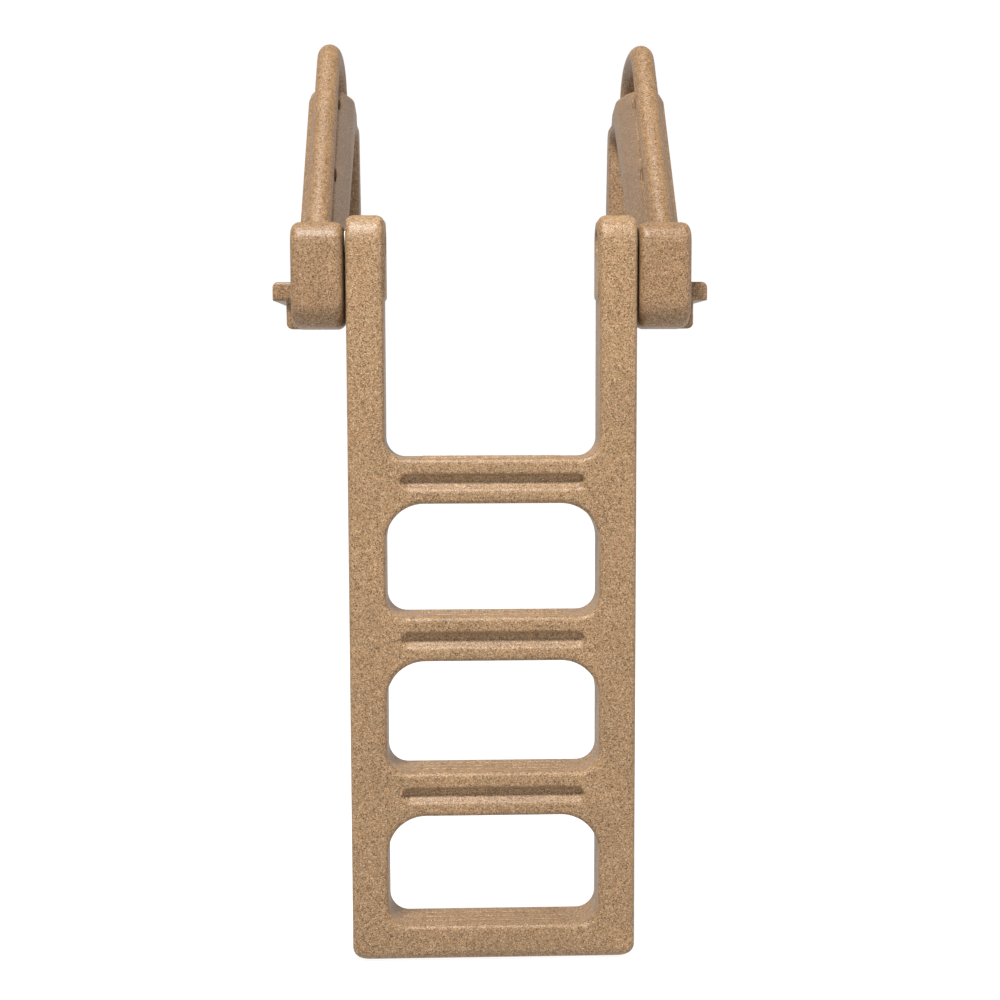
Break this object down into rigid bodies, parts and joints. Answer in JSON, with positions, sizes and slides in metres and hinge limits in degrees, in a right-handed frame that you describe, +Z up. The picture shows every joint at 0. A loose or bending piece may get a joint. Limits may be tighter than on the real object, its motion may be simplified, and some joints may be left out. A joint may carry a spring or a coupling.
{
  "type": "pool ladder",
  "caption": "Deck-mounted resin pool ladder: a moulded ladder frame hinged between two moulded handrails with grab loops, speckled tan finish.",
  "frame": {"origin": "on the plane of symmetry, at the deck's front top edge", "axes": "+Z up, +Y back over the deck, away from the pool, +X to the right as seen from the pool"},
  "size_m": [0.703, 0.578, 1.5401],
  "materials": {
    "moulded_resin": "granite-speckled tan rotomoulded polyethylene",
    "stainless_steel": "plain stainless",
    "nylon": "natural nylon",
    "resin_trim": "plain brown-tan plastic",
    "rubber": "black rubber"
  },
  "bodies": {
    "handrails": {"left_handrail": "moulded_resin", "right_handrail": "moulded_resin", "left_hinge_bolt": "stainless_steel", "right_hinge_bolt": "stainless_steel", "left_head_washer": "stainless_steel", "right_head_washer": "stainless_steel", "left_thrust_washer": "nylon", "right_thrust_washer": "nylon", "left_nut_washer": "stainless_steel", "right_nut_washer": "stainless_steel", "left_hinge_nut": "stainless_steel", "right_hinge_nut": "stainless_steel", "left_nut_cover": "resin_trim", "right_nut_cover": "resin_trim", "left_front_deck_washer": "stainless_steel", "left_front_deck_screw": "stainless_steel", "left_middle_deck_washer": "stainless_steel", "left_middle_deck_screw": "stainless_steel", "left_rear_deck_washer": "stainless_steel", "left_rear_deck_screw": "stainless_steel", "right_front_deck_washer": "stainless_steel", "right_front_deck_screw": "stainless_steel", "right_middle_deck_washer": "stainless_steel", "right_middle_deck_screw": "stainless_steel", "right_rear_deck_washer": "stainless_steel", "right_rear_deck_screw": "stainless_steel"},
    "ladder": {"ladder_frame": "moulded_resin", "left_hinge_bush": "nylon", "right_hinge_bush": "nylon", "left_wall_bumper": "rubber", "right_wall_bumper": "rubber", "left_bumper_screw": "stainless_steel", "right_bumper_screw": "stainless_steel", "left_fill_plug": "resin_trim", "right_fill_plug": "resin_trim", "left_drain_plug": "resin_trim", "right_drain_plug": "resin_trim"}
  },
  "joints": [
    {"name": "ladder_swing", "type": "hinge", "parent": "handrails", "child": "ladder", "pos_m": [0, -0.055, 0.091], "axis": [-1, 0, 0], "range_deg": [0, 270]}
  ]
}
